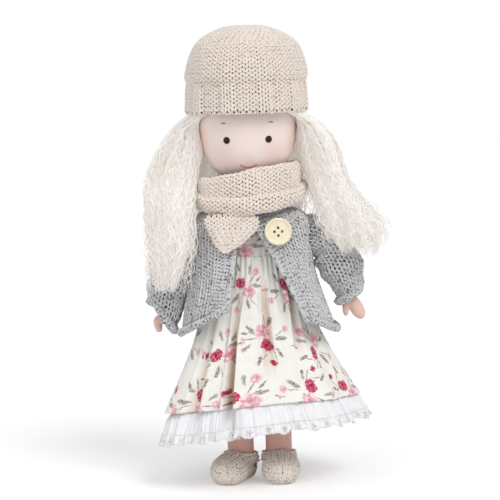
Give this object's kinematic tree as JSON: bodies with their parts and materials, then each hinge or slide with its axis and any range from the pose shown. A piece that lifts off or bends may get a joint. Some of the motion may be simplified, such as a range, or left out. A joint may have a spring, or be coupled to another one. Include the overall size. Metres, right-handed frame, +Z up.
{
  "type": "dressed rag doll",
  "caption": "Stuffed cloth rag doll with thread-jointed limbs, long hair, knitted hat, scarf, cardigan and slippers, and a gathered floral dress over a lace-edged petticoat.",
  "frame": {"origin": "on the floor, under the middle of the doll's box", "axes": "+Z up from the soles to the hat, -Y the way the doll faces, +X to the doll's left hand"},
  "size_m": [0.1542, 0.1108, 0.3005],
  "materials": {
    "skin": "fine pink cotton jersey, stretched smooth",
    "filling": "teased wool stuffing",
    "strong_thread": "waxed cotton thread",
    "eye_bead": "dark brown, half gloss",
    "mouth_thread": "pink-red embroidery thread",
    "brow_thread": "brown embroidery thread",
    "hair": "pale ivory crimped yarn hair",
    "hat_knit": "cream purl-side hand knit with ribs at the brim",
    "scarf_knit": "pinkish cream hand knit",
    "grey_knit": "grey melange hand knit",
    "slipper_knit": "flecked oatmeal hand knit",
    "floral_cotton": "ivory cotton printed with small pink rose sprigs",
    "white_gauze": "white crinkled cotton gauze",
    "white_lace": "white scalloped eyelet lace",
    "button_cream": "cream resin, soft gloss"
  },
  "bodies": {
    "torso": {"torso_skin": "skin", "torso_stuffing": "filling", "neck_tie": "strong_thread", "shoulder_thread": "strong_thread", "hip_thread": "strong_thread", "dress_bodice": "floral_cotton", "dress_skirt": "floral_cotton", "petticoat": "white_gauze", "petticoat_lace": "white_lace", "cardigan_back": "grey_knit", "cardigan_left_front": "grey_knit", "cardigan_right_front": "grey_knit", "cardigan_button": "button_cream", "button_thread": "strong_thread", "scarf": "scarf_knit"},
    "head": {"head_skin": "skin", "head_stuffing": "filling", "left_eye": "eye_bead", "right_eye": "eye_bead", "mouth_stitch": "mouth_thread", "left_brow_stitch": "brow_thread", "right_brow_stitch": "brow_thread", "wig_net": "hair", "hair_left": "hair", "hair_right": "hair", "hair_back": "hair"},
    "hat": {"hat": "hat_knit"},
    "left_arm": {"left_arm_skin": "skin", "left_arm_stuffing": "filling", "left_sleeve": "grey_knit"},
    "right_arm": {"right_arm_skin": "skin", "right_arm_stuffing": "filling", "right_sleeve": "grey_knit"},
    "left_leg": {"left_leg_skin": "skin", "left_leg_stuffing": "filling", "left_slipper": "slipper_knit"},
    "right_leg": {"right_leg_skin": "skin", "right_leg_stuffing": "filling", "right_slipper": "slipper_knit"},
    "scarf_end": {"scarf_tail": "scarf_knit"}
  },
  "joints": [
    {"name": "head_turn", "type": "hinge", "parent": "torso", "child": "head", "pos_m": [-0.00475, -0.001, 0.197], "axis": [0, 0, 1], "range_deg": [-25, 25], "deforming": ["hair_left", "hair_right", "hair_back"]},
    {"name": "hat_lift", "type": "slide", "parent": "head", "child": "hat", "axis": [0, 0, 1], "range_m": [0, 0.08]},
    {"name": "left_shoulder", "type": "hinge", "parent": "torso", "child": "left_arm", "pos_m": [0.02425, -0.001, 0.163], "axis": [-1, 0, 0], "range_deg": [-40, 95]},
    {"name": "right_shoulder", "type": "hinge", "parent": "torso", "child": "right_arm", "pos_m": [-0.03375, -0.001, 0.163], "axis": [-1, 0, 0], "range_deg": [-40, 95]},
    {"name": "left_hip", "type": "hinge", "parent": "torso", "child": "left_leg", "pos_m": [0.00975, 0.004, 0.107], "axis": [-1, 0, 0], "range_deg": [-20, 20]},
    {"name": "right_hip", "type": "hinge", "parent": "torso", "child": "right_leg", "pos_m": [-0.01575, 0.004, 0.107], "axis": [-1, 0, 0], "range_deg": [-20, 20]},
    {"name": "scarf_end_lift", "type": "hinge", "parent": "torso", "child": "scarf_end", "pos_m": [-0.01715, -0.03362, 0.1794], "axis": [-1, 0, 0], "range_deg": [0, 60]}
  ]
}
